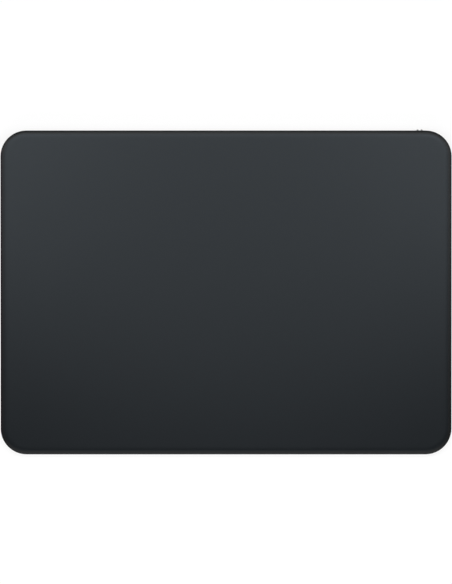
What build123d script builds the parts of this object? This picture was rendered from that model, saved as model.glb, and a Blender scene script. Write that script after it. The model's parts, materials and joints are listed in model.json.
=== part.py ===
from build123d import *
from math import atan2, cos, sin, tan
import os

# Desktop trackpad: a sheet of etched glass over a wedge-shaped metal tray.
# The glass and its boards ride on four steel flexures, so the whole surface presses down.
# Lengths are millimetres. X runs to the user's right, Y away from the user, Z up.
# The origin is on the desk under the middle of the tray.

# Overall form
WIDTH = 160.0
DEPTH = 114.9
FRONT_HEIGHT = 4.9
REAR_HEIGHT = 10.9
CORNER_RADIUS = 9.2
OVERRUN = 2.0

# Touch plate, from the top down
GLASS_THICKNESS = 0.8
GLASS_INSET = 0.08
GLASS_TOP_BEVEL = 0.3
GLASS_BOTTOM_BEVEL = 0.1
ADHESIVE_THICKNESS = 0.15
ADHESIVE_MARGIN = 1.0
SENSOR_BOARD_THICKNESS = 0.7
SENSOR_BOARD_GAP = 0.8
STIFFENER_THICKNESS = 0.4
STIFFENER_MARGIN = 1.0

# Tray
WALL = 2.0
FLOOR_THICKNESS = 1.0
GLASS_GAP = 0.35
TRAY_BOTTOM_ROUND = 1.6
RIM_BEVEL = 0.12
POCKET_BEVEL = 0.5
RIB_HEIGHT = 0.8
RIB_THICKNESS = 1.0
RIB_GAP = 0.6

# Feet
FOOT_RADIUS = 4.5
FOOT_PROUD = 0.5
FOOT_RECESS = 0.4
FOOT_RECESS_GAP = 0.15
FOOT_BEVEL = 0.3
FOOT_INSET = 14.0

# Flexures and their pads
BEAM_THICKNESS = 0.4
BEAM_ROOT_LENGTH = 8.0
BEAM_ROOT_WIDTH = 9.0
BEAM_WALL_GAP = 0.6
BEAM_REACH = 16.0
BEAM_NECK_WIDTH = 4.4
BEAM_TIP_LENGTH = 9.0
BEAM_TIP_WIDTH = 8.0
BEAM_BEVEL = 0.9
BEAM_EDGE_DISTANCE = 14.0
BEAM_SHELF_MARGIN = 0.5
PAD_THICKNESS = 0.5
PAD_LENGTH = 7.6
PAD_WIDTH = 6.6
GAUGE_LENGTH = 3.0
GAUGE_WIDTH = 3.4
GAUGE_THICKNESS = 0.15

# Screws
SHANK_RADIUS = 0.8
HOLE_GAP = 0.06
HEAD_RADIUS = 1.4
HEAD_HEIGHT = 0.45
THREAD_DEPTH = 1.1
HOLE_END_GAP = 0.15
SCREW_WINDOW_GAP = 0.8

# Haptic actuator
TOOTH_COUNT = 4
TOOTH_PITCH = 15.0
TOOTH_WIDTH = 7.0
TOOTH_LENGTH = 9.0
SPINE_DEPTH = 3.0
SPINE_OVERHANG = 4.0
COIL_WINDING = 0.5
COIL_GAP = 0.06
COIL_LENGTH = 6.5
COIL_BEVEL = 0.3
HAPTIC_BATTERY_GAP = 5.0
BRACKET_THICKNESS = 0.5
BRACKET_LIFT = 0.4
BRACKET_BEVEL = 1.2
BRACKET_WINDOW_GAP = 0.4
BRACKET_LIP = 1.0
BRACKET_EAR = 5.0
AIR_GAP = 0.6
BAR_THICKNESS = 2.0
BAR_FLANGE_DEPTH = 5.5
BAR_FLANGE_THICKNESS = 0.7
BAR_FILM_THICKNESS = 0.1
HAPTIC_RIBBON_WIDTH = 1.4
HAPTIC_RIBBON_LANDING = 3.0
RIBBON_THICKNESS = 0.12

# Battery
BATTERY_SIDE_ROOM = 17.0
BATTERY_DEPTH = 38.0
BATTERY_THICKNESS = 3.9
BATTERY_CORNER = 1.6
BATTERY_BEVEL = 0.7
TERRACE_LENGTH = 5.0
TERRACE_THICKNESS = 0.4
TERRACE_LIFT = 1.2
TERRACE_INSET = 3.0
BATTERY_FILM_THICKNESS = 0.15
BATTERY_FILM_WIDTH = 8.0
BATTERY_FILM_INSET = 3.0
PROTECTION_LENGTH = 26.0
PROTECTION_DEPTH = 3.6
PROTECTION_THICKNESS = 0.8
BATTERY_LEAD_WIDTH = 6.0

# Logic board
BOARD_THICKNESS = 0.8
BOARD_LIFT = 1.2
BOARD_EDGE_GAP = 0.8
BOARD_BEVEL = 1.2
STRIP_DEPTH = 7.9
STRIP_REACH = 15.0
PANEL_WIDTH = 25.5
PART_GAP = 1.5
BOARD_BOSS_RADIUS = 1.9
BOARD_SCREW_INSET = 2.4
CHIP_THICKNESS = 0.8
CAN_LENGTH = 17.0
CAN_DEPTH = 15.0
CAN_HEIGHT = 1.3
CAN_WALL = 0.2
CAN_BEVEL = 0.6
CAPACITOR_LENGTH = 1.0
CAPACITOR_WIDTH = 0.5
CAPACITOR_PITCH = 1.3
CAPACITOR_COUNT = 9

# Flex connectors and ribbons
CONNECTOR_LENGTH = 9.0
CONNECTOR_DEPTH = 2.4
CONNECTOR_HEIGHT = 0.8
SENSOR_RIBBON_WIDTH = 7.0
SENSOR_RIBBON_ROUND = 3.0
SENSOR_CONNECTOR_DISTANCE = 20.0
CHIP_WINDOW_WIDTH = 44.0
CHIP_WINDOW_DEPTH = 13.0

# Charging socket
SHELL_WIDTH = 8.94
SHELL_HEIGHT = 3.16
SHELL_WALL = 0.3
SHELL_LENGTH = 7.35
SHELL_BACK = 1.1
SOCKET_SETBACK = 0.35
SLOT_GAP = 0.15
TONGUE_WIDTH = 6.69
TONGUE_THICKNESS = 0.7
TONGUE_SETBACK = 0.9
CONTACT_COUNT = 12
CONTACT_PITCH = 0.5
CONTACT_WIDTH = 0.26
CONTACT_THICKNESS = 0.05
CONTACT_LENGTH = 3.6
CONTACT_SETBACK = 0.5
STRAP_THICKNESS = 0.4
STRAP_DEPTH = 3.4
STRAP_FOOT = 4.6
STRAP_GAP = 0.02

# Power switch
POWER_TRAVEL = 2.2
POWER_CORNER_DISTANCE = 11.3
KNOB_WIDTH = 4.6
KNOB_HEIGHT = 2.2
KNOB_SETBACK = 0.1
KNOB_GAP = 0.15
KNOB_PEG_WIDTH = 2.0
KNOB_PEG_HEIGHT = 1.0
RIDGE_PITCH = 1.42
RIDGE_WIDTH = 0.6
RIDGE_HEIGHT = 1.7
RIDGE_PROUD = 0.4
SWITCH_WALL = 1.2
SLIDER_THICKNESS = 0.5
SLIDER_GAP = 0.3
SLIDER_LAP = 0.35
SLIDER_HEIGHT = 4.2
INDICATOR_THICKNESS = 0.1
FORK_PRONG = 0.6
FORK_REACH = 1.7
FORK_HEIGHT = 1.3
LEVER_WIDTH = 1.2
LEVER_HEIGHT = 0.9
LEVER_GAP = 0.05
LEVER_TIP_GAP = 0.5
LEVER_ROOT = 0.7
SWITCH_LENGTH = 6.7
SWITCH_DEPTH = 2.7
SWITCH_HEIGHT = 1.5
SWITCH_BOARD_LENGTH = 10.6
SWITCH_BOARD_DEPTH = 3.8
SWITCH_BOARD_GAP = 1.3
SWITCH_RIBBON_LAP = 0.8

# Antenna
ANTENNA_SPAN = 14.0
ANTENNA_LENGTH = 24.0
ANTENNA_STEP = 4.0
ANTENNA_DEPTH = 4.4
ANTENNA_HEIGHT = 4.6
ANTENNA_TRACE_WIDTH = 1.2
ANTENNA_RIBBON_WIDTH = 2.0
ANTENNA_RIBBON_LAP = 2.5

# Shares of the piece that carries them: place across, place along, width, length
SENSOR_CHIP_SHARES = [
    (-0.36, 0.0, 0.16, 0.52),
    (-0.13, 0.05, 0.19, 0.66),
    (0.1, -0.1, 0.1, 0.36),
    (0.25, 0.1, 0.12, 0.4),
    (0.4, -0.05, 0.1, 0.34),
]
PANEL_CHIP_SHARES = [
    (-0.18, -0.31, 0.36, 0.16),
    (0.24, -0.33, 0.2, 0.09),
    (0.26, -0.2, 0.16, 0.07),
    (-0.27, 0.31, 0.22, 0.1),
    (0.1, 0.33, 0.28, 0.11),
]
CAN_CHIP_SHARES = [(-0.24, 0.1, 0.38, 0.44), (0.24, 0.2, 0.26, 0.3), (0.22, -0.24, 0.2, 0.22)]
CAN_PLACE_SHARE = 0.02

# Worked-out angles, planes and levels
SLOPE = atan2(REAR_HEIGHT - FRONT_HEIGHT, DEPTH)
MID_HEIGHT = (FRONT_HEIGHT + REAR_HEIGHT) / 2
DECK_DEPTH = DEPTH / cos(SLOPE)
DECK = Plane(origin=(0, 0, MID_HEIGHT), x_dir=(1, 0, 0), z_dir=(0, -sin(SLOPE), cos(SLOPE)))
DECK_UP = Axis(DECK.origin, DECK.z_dir)
RIM_DROP = GLASS_THICKNESS + GLASS_GAP
FILM_DROP = GLASS_THICKNESS + ADHESIVE_THICKNESS
SENSOR_DROP = FILM_DROP + SENSOR_BOARD_THICKNESS
STIFFENER_DROP = SENSOR_DROP + STIFFENER_THICKNESS
BEAM_TOP_DROP = STIFFENER_DROP + PAD_THICKNESS
SHELF_DROP = BEAM_TOP_DROP + BEAM_THICKNESS
FLOOR_TOP = FOOT_PROUD + FLOOR_THICKNESS
BOARD_TOP = FLOOR_TOP + BOARD_LIFT + BOARD_THICKNESS
BRACKET_TOP = FLOOR_TOP + BRACKET_LIFT + BRACKET_THICKNESS
CORE_THICKNESS = BOARD_TOP - BRACKET_TOP
CORE_MIDDLE = BRACKET_TOP + CORE_THICKNESS / 2
BATTERY_BOTTOM = FLOOR_TOP + BATTERY_FILM_THICKNESS
TERRACE_TOP = BATTERY_BOTTOM + TERRACE_LIFT + TERRACE_THICKNESS
PORT_HEIGHT = BOARD_TOP + SHELL_HEIGHT / 2
LEVER_MIDDLE = BOARD_TOP + SWITCH_HEIGHT / 2

# Worked-out places
INNER_WIDTH = WIDTH - 2 * WALL
INNER_DEPTH = DEPTH - 2 * WALL
REAR_FACE = DEPTH / 2
REAR_INNER = REAR_FACE - WALL
CORNERS = [(side, end) for side in (-1, 1) for end in (-1, 1)]
BEAM_X = INNER_WIDTH / 2 - BEAM_WALL_GAP - BEAM_ROOT_LENGTH / 2
BEAM_Y = DEPTH / 2 - BEAM_EDGE_DISTANCE
BOARD_REAR = REAR_INNER - BOARD_EDGE_GAP
STRIP_FRONT = BOARD_REAR - STRIP_DEPTH
BATTERY_REAR = STRIP_FRONT - PART_GAP
BATTERY_FRONT = BATTERY_REAR - BATTERY_DEPTH
CORE_REAR = BATTERY_FRONT - HAPTIC_BATTERY_GAP
TEETH_ROOT = CORE_REAR - SPINE_DEPTH
TEETH_END = TEETH_ROOT - TOOTH_LENGTH
CORE_HALF_LENGTH = TOOTH_PITCH * (TOOTH_COUNT - 1) / 2 + TOOTH_WIDTH / 2 + SPINE_OVERHANG
SOCKET_MOUTH = REAR_FACE - SOCKET_SETBACK
POWER_X = WIDTH / 2 - POWER_CORNER_DISTANCE
POWER_SLOT_LENGTH = KNOB_WIDTH + POWER_TRAVEL + 2 * KNOB_GAP
POWER_SLOT_X = POWER_X - POWER_TRAVEL / 2
SLIDER_LENGTH = POWER_SLOT_LENGTH + POWER_TRAVEL + 2 * SLIDER_LAP
SLIDER_FACE = REAR_FACE - SWITCH_WALL - SLIDER_GAP
SLIDER_BACK = SLIDER_FACE - SLIDER_THICKNESS
LEVER_TIP = SLIDER_BACK - LEVER_TIP_GAP
SWITCH_REAR = SLIDER_BACK - FORK_REACH - SLIDER_GAP
SWITCH_BOARD_REAR = SWITCH_REAR + SLIDER_GAP
SWITCH_BOARD_FRONT = SWITCH_BOARD_REAR - SWITCH_BOARD_DEPTH
SWITCH_BOARD_LEFT = POWER_SLOT_X - SWITCH_BOARD_LENGTH / 2
PANEL_RIGHT = SWITCH_BOARD_LEFT - SWITCH_BOARD_GAP
PANEL_LEFT = PANEL_RIGHT - PANEL_WIDTH
PANEL_FRONT = CORE_REAR + PART_GAP
PANEL_DEPTH = BOARD_REAR - PANEL_FRONT
BATTERY_RIGHT = PANEL_LEFT - PART_GAP - TERRACE_LENGTH
BATTERY_LEFT = BATTERY_SIDE_ROOM - INNER_WIDTH / 2
ANTENNA_RIGHT = -STRIP_REACH - ANTENNA_SPAN
ANTENNA_Y = STRIP_FRONT + STRIP_DEPTH / 2


def level(height):
    """Flat plane at a height above the desk."""
    return Plane.XY.offset(height)


def deck(drop):
    """Plane parallel to the glass, a distance under its top."""
    return DECK.offset(-drop)


def facing_front(x, y, z):
    """Upright plane at a point, for pieces that run forwards from it."""
    return Plane(origin=(x, y, z), x_dir=(1, 0, 0), z_dir=(0, -1, 0))


def facing_right(x, y, z):
    """Upright plane at a point, for profiles that run to the right from it."""
    return Plane(origin=(x, y, z), x_dir=(0, 1, 0), z_dir=(1, 0, 0))


def block(low, high):
    """Box between its lowest and highest corners."""
    length, width, height = (b - a for a, b in zip(low, high))
    return Pos(*low) * Box(length, width, height, align=(Align.MIN, Align.MIN, Align.MIN))


def panel(low, high):
    """Flat rectangle between two corners."""
    middle = [(a + b) / 2 for a, b in zip(low, high)]
    return Pos(*middle) * Rectangle(high[0] - low[0], high[1] - low[1])


def rounded_plate(width, depth, radius, drop, thickness):
    """Plate parallel to the glass whose underside lies at a drop below the deck."""
    return extrude(deck(drop) * RectangleRounded(width, depth, radius), amount=thickness)


def grid_of_chips(shares, width, depth):
    """Chip outlines on a field of the given size, centred on the origin."""
    outlines = []
    for across, along, width_share, depth_share in shares:
        chip = Rectangle(width * width_share, depth * depth_share)
        outlines.append(Pos(across * width, along * depth) * chip)
    return outlines


def screw(grip):
    """Low-head screw that stands on its seat at the origin and clamps a sheet of the given grip."""
    head = extrude(Circle(HEAD_RADIUS), amount=HEAD_HEIGHT)
    return head + extrude(Circle(SHANK_RADIUS), amount=-(grip + THREAD_DEPTH))


def screw_hole(plane, x, y):
    """Blind threaded hole under a seat on the given plane."""
    mouth = plane * Pos(x, y) * Circle(SHANK_RADIUS + HOLE_GAP)
    return extrude(mouth, amount=-(THREAD_DEPTH + HOLE_END_GAP))


def boss(x, y, radius, top):
    """Round boss that rises from the tray floor."""
    return extrude(level(FLOOR_TOP) * Pos(x, y) * Circle(radius), amount=top - FLOOR_TOP)


def ribbon(line, plane, width):
    """Flat ribbon whose side view is traced along a line on the given plane."""
    return extrude(plane * trace(line, RIBBON_THICKNESS), amount=width)


def beam_places():
    """Middles of the flexure roots on the deck, one at each corner."""
    return [(side * BEAM_X, end * BEAM_Y) for side, end in CORNERS]


def board_screw_places():
    """Logic board screw at the panel's front right corner."""
    return [(PANEL_RIGHT - BOARD_SCREW_INSET, PANEL_FRONT + BOARD_SCREW_INSET)]


def strap_screw_places():
    """Screws at both feet of the socket strap."""
    x = SHELL_WIDTH / 2 + STRAP_FOOT / 2 + STRAP_THICKNESS
    y = SOCKET_MOUTH - SHELL_LENGTH + STRAP_DEPTH / 2
    return [(-x, y), (x, y)]


def bracket_screw_places():
    """Screws at the two ends of the haptic bracket."""
    x = CORE_HALF_LENGTH + BRACKET_EAR / 2
    return [(side * x, (CORE_REAR + TEETH_END) / 2) for side in (-1, 1)]


def glass_top():
    """Cover glass with ground edges."""
    width = WIDTH - 2 * GLASS_INSET
    depth = DECK_DEPTH - 2 * GLASS_INSET
    glass = rounded_plate(width, depth, CORNER_RADIUS - GLASS_INSET, GLASS_THICKNESS, GLASS_THICKNESS)
    glass = chamfer(glass.faces().sort_by(DECK_UP)[-1].edges(), GLASS_TOP_BEVEL)
    return chamfer(glass.faces().sort_by(DECK_UP)[0].edges(), GLASS_BOTTOM_BEVEL)


def sensor_outline(margin):
    """Width, depth and corner radius of a layer that drops inside the tray walls, less a margin."""
    gap = SENSOR_BOARD_GAP + margin
    return INNER_WIDTH - 2 * gap, INNER_DEPTH / cos(SLOPE) - 2 * gap, CORNER_RADIUS - WALL - gap


def glass_adhesive():
    """Bonding film between the glass and the touch board."""
    return rounded_plate(*sensor_outline(ADHESIVE_MARGIN), FILM_DROP, ADHESIVE_THICKNESS)


def sensor_board():
    """Touch electrode board."""
    return rounded_plate(*sensor_outline(0), SENSOR_DROP, SENSOR_BOARD_THICKNESS)


def chip_window_middle():
    """Middle of the stiffener window that the touch chips hang through."""
    return 0, (TEETH_END - DEPTH / 2) / 2 - BAR_FLANGE_DEPTH / 2


def sensor_connector_middle():
    """Middle of the ribbon connector under the touch board."""
    return PANEL_LEFT + PANEL_WIDTH / 2, PANEL_FRONT - SENSOR_CONNECTOR_DISTANCE


def stiffener_plate():
    """Steel backing plate, opened over the flexure screws, the chips and the connector."""
    outline = RectangleRounded(*sensor_outline(STIFFENER_MARGIN))
    notch_width = 2 * (HEAD_RADIUS + SCREW_WINDOW_GAP)
    for x, y in beam_places():
        outline -= Pos(x, y) * Rectangle(notch_width, notch_width)
    outline -= Pos(*chip_window_middle()) * Rectangle(CHIP_WINDOW_WIDTH, CHIP_WINDOW_DEPTH)
    slot = Rectangle(CONNECTOR_LENGTH + 2 * PART_GAP, CONNECTOR_DEPTH + 2 * PART_GAP)
    outline -= Pos(*sensor_connector_middle()) * slot
    return extrude(deck(STIFFENER_DROP) * outline, amount=STIFFENER_THICKNESS)


def sensor_chips():
    """Touch controller and its helpers under the touch board."""
    field_width = CHIP_WINDOW_WIDTH
    outlines = grid_of_chips(SENSOR_CHIP_SHARES, field_width, CHIP_WINDOW_DEPTH)
    middle = Pos(*chip_window_middle())
    return [extrude(deck(SENSOR_DROP) * middle * chip, amount=-CHIP_THICKNESS) for chip in outlines]


def sensor_connector():
    """Ribbon connector under the touch board."""
    outline = Pos(*sensor_connector_middle()) * Rectangle(CONNECTOR_LENGTH, CONNECTOR_DEPTH)
    return extrude(deck(SENSOR_DROP) * outline, amount=-CONNECTOR_HEIGHT)


def bar_middle():
    """Middle of the attraction bar's leg along the depth."""
    return TEETH_END - AIR_GAP - BAR_THICKNESS / 2


def attraction_bar():
    """Steel angle bonded under the stiffener, with its leg facing the magnet teeth."""
    front = bar_middle() - BAR_THICKNESS / 2
    rear = bar_middle() + BAR_THICKNESS / 2
    length = 2 * CORE_HALF_LENGTH
    drop = STIFFENER_DROP + BAR_FILM_THICKNESS
    flange_front = rear - BAR_FLANGE_DEPTH
    flange = Pos(0, (flange_front + rear) / 2) * Rectangle(length, BAR_FLANGE_DEPTH)
    flange = extrude(deck(drop) * flange, amount=-BAR_FLANGE_THICKNESS)
    leg = block((-length / 2, front, BRACKET_TOP), (length / 2, rear, MID_HEIGHT))
    leg = split(leg, bisect_by=deck(drop), keep=Keep.BOTTOM)
    return flange + leg


def bar_adhesive():
    """Bonding film between the attraction bar and the stiffener."""
    rear = bar_middle() + BAR_THICKNESS / 2 - BAR_FILM_THICKNESS
    depth = BAR_FLANGE_DEPTH - 2 * BAR_FILM_THICKNESS
    outline = Pos(0, rear - depth / 2) * Rectangle(2 * CORE_HALF_LENGTH - 2 * BAR_FILM_THICKNESS, depth)
    return extrude(deck(STIFFENER_DROP) * outline, amount=-BAR_FILM_THICKNESS)


def gel_pads():
    """Soft pads between the flexure tips and the stiffener."""
    pads = []
    for side, end in CORNERS:
        place = Pos(side * (BEAM_X - BEAM_REACH), end * BEAM_Y)
        outline = place * Rectangle(PAD_LENGTH, PAD_WIDTH)
        pads.append(extrude(deck(BEAM_TOP_DROP) * outline, amount=PAD_THICKNESS))
    return pads


def beam_outline():
    """Flexure seen from above: a wide root at the origin, a waisted neck and a broad tip."""
    tip_start = BEAM_TIP_LENGTH / 2 - BEAM_REACH
    leaf = Rectangle(BEAM_ROOT_LENGTH, BEAM_ROOT_WIDTH)
    leaf += panel((tip_start, -BEAM_NECK_WIDTH / 2), (0, BEAM_NECK_WIDTH / 2))
    leaf += Pos(-BEAM_REACH, 0) * Rectangle(BEAM_TIP_LENGTH, BEAM_TIP_WIDTH)
    leaf = chamfer(leaf.vertices(), BEAM_BEVEL)
    return leaf - Circle(SHANK_RADIUS + HOLE_GAP)


def force_beams():
    """Four flexures, each screwed down at its outer end."""
    right = beam_outline()
    left = mirror(right, about=Plane.YZ)
    beams = []
    for x, y in beam_places():
        leaf = right if x > 0 else left
        beams.append(extrude(deck(SHELF_DROP) * Pos(x, y) * leaf, amount=BEAM_THICKNESS))
    return beams


def strain_gauges():
    """Gauges bonded under the necks of the flexures."""
    neck_start = BEAM_X - BEAM_ROOT_LENGTH / 2
    neck_end = BEAM_X - BEAM_REACH + BEAM_TIP_LENGTH / 2
    reach = (neck_start + neck_end) / 2
    gauge = Rectangle(GAUGE_LENGTH, GAUGE_WIDTH)
    gauges = []
    for side, end in CORNERS:
        place = Pos(side * reach, end * BEAM_Y)
        gauges.append(extrude(deck(SHELF_DROP) * place * gauge, amount=-GAUGE_THICKNESS))
    return gauges


def beam_screws():
    """Screws of the flexure roots, square to the sloping shelves."""
    return [deck(BEAM_TOP_DROP) * Pos(x, y) * screw(BEAM_THICKNESS) for x, y in beam_places()]


def tray_blank():
    """Outer form of the tray: a wedge with a soft bottom edge and a bevelled rim."""
    blank = extrude(level(FOOT_PROUD) * RectangleRounded(WIDTH, DEPTH, CORNER_RADIUS), amount=REAR_HEIGHT)
    blank = split(blank, bisect_by=deck(RIM_DROP), keep=Keep.BOTTOM)
    blank = fillet(blank.faces().sort_by(Axis.Z)[0].edges(), TRAY_BOTTOM_ROUND)
    return chamfer(blank.faces().sort_by(DECK_UP)[-1].edges(), RIM_BEVEL)


def tray_pocket():
    """Space inside the walls, with a milled bevel where the walls meet the floor."""
    outline = RectangleRounded(INNER_WIDTH, INNER_DEPTH, CORNER_RADIUS - WALL)
    pocket = extrude(level(FLOOR_TOP) * outline, amount=REAR_HEIGHT)
    return chamfer(pocket.faces().sort_by(Axis.Z)[0].edges(), POCKET_BEVEL)


def beam_shelf(side, end):
    """Sloping shelf between a side wall and the middle, which carries a flexure root."""
    inner = BEAM_X - BEAM_ROOT_LENGTH / 2 - BEAM_SHELF_MARGIN
    outer = WIDTH / 2 - WALL / 2
    width = BEAM_ROOT_WIDTH + 2 * BEAM_SHELF_MARGIN
    shelf = block(
        (inner, end * BEAM_Y - width / 2, FLOOR_TOP - FLOOR_THICKNESS / 2),
        (outer, end * BEAM_Y + width / 2, REAR_HEIGHT),
    )
    shelf = split(shelf, bisect_by=deck(SHELF_DROP), keep=Keep.BOTTOM)
    return shelf if side > 0 else mirror(shelf, about=Plane.YZ)


def floor_ribs():
    """Low ribs on the tray floor that locate the battery at its front and left end."""
    rib_top = FLOOR_TOP + RIB_HEIGHT
    front = block(
        (BATTERY_LEFT, BATTERY_FRONT - RIB_GAP - RIB_THICKNESS, FLOOR_TOP - FLOOR_THICKNESS / 2),
        (BATTERY_RIGHT, BATTERY_FRONT - RIB_GAP, rib_top),
    )
    left = block(
        (BATTERY_LEFT - RIB_GAP - RIB_THICKNESS, BATTERY_FRONT, FLOOR_TOP - FLOOR_THICKNESS / 2),
        (BATTERY_LEFT - RIB_GAP, BATTERY_REAR, rib_top),
    )
    return front + left


def rear_openings():
    """Socket opening, knob slot and the pocket behind the knob slot."""
    socket = SlotOverall(SHELL_WIDTH + 2 * SLOT_GAP, SHELL_HEIGHT + 2 * SLOT_GAP)
    port = extrude(facing_front(0, REAR_FACE + OVERRUN, PORT_HEIGHT) * socket, amount=WALL + 2 * OVERRUN)
    knob = SlotOverall(POWER_SLOT_LENGTH, KNOB_HEIGHT + 2 * KNOB_GAP)
    slot_plane = facing_front(POWER_SLOT_X, REAR_FACE + OVERRUN, PORT_HEIGHT)
    slot = extrude(slot_plane * knob, amount=WALL + 2 * OVERRUN)
    room_length = SLIDER_LENGTH + POWER_TRAVEL + 2 * SLIDER_GAP
    room = Rectangle(room_length, SLIDER_HEIGHT + 2 * SLIDER_GAP)
    room_plane = facing_front(POWER_SLOT_X, REAR_FACE - SWITCH_WALL, PORT_HEIGHT)
    return port + slot + extrude(room_plane * room, amount=WALL)


def floor_lands():
    """Raised lands on the tray floor under the haptic bracket, the socket and the switch board."""
    low = FLOOR_TOP - FLOOR_THICKNESS / 2
    lands = []
    for x, y in bracket_screw_places():
        start = (x - BRACKET_EAR / 2, y - BRACKET_EAR / 2, low)
        lands.append(block(start, (x + BRACKET_EAR / 2, y + BRACKET_EAR / 2, FLOOR_TOP + BRACKET_LIFT)))
    (left, y), (right, y) = strap_screw_places()
    half_foot = STRAP_FOOT / 2
    start = (left - half_foot, y - half_foot, low)
    lands.append(block(start, (right + half_foot, y + half_foot, FLOOR_TOP + BOARD_LIFT)))
    start = (SWITCH_BOARD_LEFT, SWITCH_BOARD_FRONT, low)
    end = (SWITCH_BOARD_LEFT + SWITCH_BOARD_LENGTH, SWITCH_BOARD_REAR, FLOOR_TOP + BOARD_LIFT)
    lands.append(block(start, end))
    return lands


def enclosure():
    """One-piece machined tray."""
    tray = tray_blank() - tray_pocket()
    for side, end in CORNERS:
        tray += beam_shelf(side, end)
    for x, y in board_screw_places():
        tray += boss(x, y, BOARD_BOSS_RADIUS, FLOOR_TOP + BOARD_LIFT)
    for addition in floor_lands() + [floor_ribs()]:
        tray += addition
    tray -= rear_openings()
    for x, y in beam_places():
        tray -= screw_hole(deck(SHELF_DROP), x, y)
    for x, y in board_screw_places() + strap_screw_places():
        tray -= screw_hole(level(FLOOR_TOP + BOARD_LIFT), x, y)
    for x, y in bracket_screw_places():
        tray -= screw_hole(level(FLOOR_TOP + BRACKET_LIFT), x, y)
    for x, y in foot_places():
        recess = Pos(x, y) * Circle(FOOT_RADIUS + FOOT_RECESS_GAP)
        tray -= extrude(recess, amount=FOOT_PROUD + FOOT_RECESS)
    return tray


def foot_places():
    """Middles of the four feet."""
    return [(side * (WIDTH / 2 - FOOT_INSET), end * (DEPTH / 2 - FOOT_INSET)) for side, end in CORNERS]


def feet():
    """Rubber feet with a bevelled lower edge."""
    pads = []
    for x, y in foot_places():
        pad = extrude(Pos(x, y) * Circle(FOOT_RADIUS), amount=FOOT_PROUD + FOOT_RECESS)
        pads.append(chamfer(pad.faces().sort_by(Axis.Z)[0].edges(), FOOT_BEVEL))
    return pads


def tooth_places():
    """Places of the magnet teeth across the core."""
    first = -TOOTH_PITCH * (TOOTH_COUNT - 1) / 2
    return [first + TOOTH_PITCH * index for index in range(TOOTH_COUNT)]


def haptic_core():
    """Comb-shaped magnet core: a spine with teeth that point to the front."""
    outline = panel((-CORE_HALF_LENGTH, TEETH_ROOT), (CORE_HALF_LENGTH, CORE_REAR))
    for x in tooth_places():
        outline += panel((x - TOOTH_WIDTH / 2, TEETH_END), (x + TOOTH_WIDTH / 2, CORE_REAR))
    return extrude(level(BRACKET_TOP) * outline, amount=CORE_THICKNESS)


def haptic_coils():
    """Copper windings round the teeth."""
    bore_width = TOOTH_WIDTH + 2 * COIL_GAP
    bore_height = CORE_THICKNESS + 2 * COIL_GAP
    winding = Rectangle(bore_width + 2 * COIL_WINDING, bore_height + 2 * COIL_WINDING)
    winding = chamfer(winding.vertices(), COIL_BEVEL) - Rectangle(bore_width, bore_height)
    front = (TEETH_ROOT + TEETH_END + COIL_LENGTH) / 2
    planes = [facing_front(x, front, CORE_MIDDLE) for x in tooth_places()]
    return [extrude(plane * winding, amount=COIL_LENGTH) for plane in planes]


def haptic_bracket():
    """Steel frame under the core, with a window under each coil and a screw at each ear."""
    length = 2 * (CORE_HALF_LENGTH + BRACKET_EAR)
    depth = CORE_REAR - TEETH_END
    middle = (CORE_REAR + TEETH_END) / 2
    frame = Rectangle(length, depth)
    frame = Pos(0, middle) * chamfer(frame.vertices(), BRACKET_BEVEL)
    window_width = TOOTH_WIDTH + 2 * (COIL_GAP + COIL_WINDING + BRACKET_WINDOW_GAP)
    window_depth = TOOTH_LENGTH - BRACKET_LIP - BRACKET_WINDOW_GAP
    window_middle = TEETH_END + BRACKET_LIP + window_depth / 2
    for x in tooth_places():
        frame -= Pos(x, window_middle) * Rectangle(window_width, window_depth)
    for x, y in bracket_screw_places():
        frame -= Pos(x, y) * Circle(SHANK_RADIUS + HOLE_GAP)
    return extrude(level(BRACKET_TOP - BRACKET_THICKNESS) * frame, amount=BRACKET_THICKNESS)


def haptic_screws():
    """Screws of the haptic bracket."""
    return [Pos(x, y, BRACKET_TOP) * screw(BRACKET_THICKNESS) for x, y in bracket_screw_places()]


def haptic_flex():
    """Ribbon along the core's spine that turns back onto the logic board."""
    rear = CORE_REAR - RIBBON_THICKNESS
    front = rear - HAPTIC_RIBBON_WIDTH
    left = PANEL_LEFT + BOARD_BEVEL
    right = left + HAPTIC_RIBBON_WIDTH
    outline = panel((tooth_places()[0], front), (right, rear))
    outline += panel((left, front), (right, PANEL_FRONT + HAPTIC_RIBBON_LANDING))
    return extrude(level(BOARD_TOP) * outline, amount=RIBBON_THICKNESS)


def battery_cell():
    """Flat pouch cell with a thin sealed terrace at its right end."""
    middle_x = (BATTERY_LEFT + BATTERY_RIGHT) / 2
    middle_y = (BATTERY_FRONT + BATTERY_REAR) / 2
    outline = Rectangle(BATTERY_RIGHT - BATTERY_LEFT, BATTERY_DEPTH)
    outline = Pos(middle_x, middle_y) * chamfer(outline.vertices(), BATTERY_CORNER)
    cell = extrude(level(BATTERY_BOTTOM) * outline, amount=BATTERY_THICKNESS)
    cell = chamfer(cell.faces().sort_by(Axis.Z)[-1].edges(), BATTERY_BEVEL)
    terrace = block(
        (BATTERY_RIGHT - TERRACE_INSET, BATTERY_FRONT + TERRACE_INSET, TERRACE_TOP - TERRACE_THICKNESS),
        (BATTERY_RIGHT + TERRACE_LENGTH, BATTERY_REAR - TERRACE_INSET, TERRACE_TOP),
    )
    return cell + terrace


def battery_adhesive():
    """Two stretch-release strips under the cell."""
    strips = []
    for start in (BATTERY_FRONT + BATTERY_FILM_INSET, BATTERY_REAR - BATTERY_FILM_INSET - BATTERY_FILM_WIDTH):
        low = (BATTERY_LEFT + BATTERY_FILM_INSET, start, FLOOR_TOP)
        high = (BATTERY_RIGHT - BATTERY_FILM_INSET, start + BATTERY_FILM_WIDTH, BATTERY_BOTTOM)
        strips.append(block(low, high))
    return strips


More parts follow.
